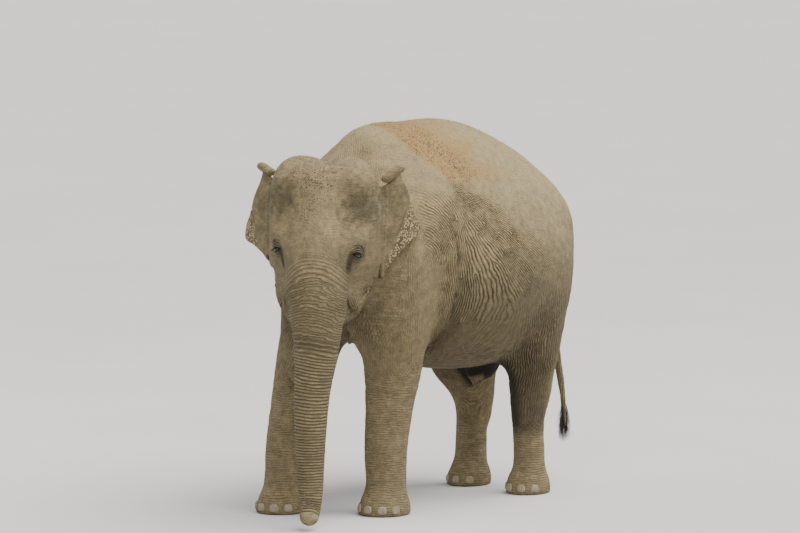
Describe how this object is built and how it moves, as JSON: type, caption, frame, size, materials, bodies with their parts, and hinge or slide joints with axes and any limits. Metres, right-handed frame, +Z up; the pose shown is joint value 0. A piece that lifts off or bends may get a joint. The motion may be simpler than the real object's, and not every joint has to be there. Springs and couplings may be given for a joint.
{
  "type": "asian elephant",
  "caption": "Standing Asian elephant cow, life size and still, head turned to its left, trunk hanging to the ground, wrinkled dusty hide, small ears, thin tail.",
  "frame": {"origin": "middle of the whole box in X and Y, on the floor the soles stand on", "axes": "+Z up; the body faces -Y and its left side is +X; the head is turned 35 degrees toward +X"},
  "size_m": [1.3982, 2.7796, 2.4052],
  "materials": {
    "hide": "dry, deeply wrinkled grey-brown hide with pale dust above and darker skin below",
    "ear": "thin soft hide, freckled pink and cream toward the lower edge",
    "nail": "dull horn, scuffed, with fine upright lines",
    "eye": "wet, dark brown iris with a black pupil",
    "hair": "coarse dark bristle"
  },
  "bodies": {
    "root": {"belly": "hide", "chest": "hide", "ear_left": "ear", "ear_right": "ear", "eye_left": "eye", "eye_right": "eye", "forefoot_left": "hide", "forefoot_right": "hide", "foreleg_left_lower": "hide", "foreleg_left_upper": "hide", "foreleg_right_lower": "hide", "foreleg_right_upper": "hide", "forenail_left_1": "nail", "forenail_left_2": "nail", "forenail_left_3": "nail", "forenail_left_4": "nail", "forenail_left_5": "nail", "forenail_right_1": "nail", "forenail_right_2": "nail", "forenail_right_3": "nail", "forenail_right_4": "nail", "forenail_right_5": "nail", "head": "hide", "hindfoot_left": "hide", "hindfoot_right": "hide", "hindleg_left_lower": "hide", "hindleg_left_upper": "hide", "hindleg_right_lower": "hide", "hindleg_right_upper": "hide", "hindnail_left_1": "nail", "hindnail_left_2": "nail", "hindnail_left_3": "nail", "hindnail_left_4": "nail", "hindnail_right_1": "nail", "hindnail_right_2": "nail", "hindnail_right_3": "nail", "hindnail_right_4": "nail", "jaw": "hide", "neck": "hide", "rump": "hide", "tail_base": "hide", "tail_middle": "hide", "tail_tip": "hide", "trunk_base": "hide", "trunk_lower": "hide", "trunk_middle": "hide", "trunk_tip": "hide"}
  },
  "joints": []
}
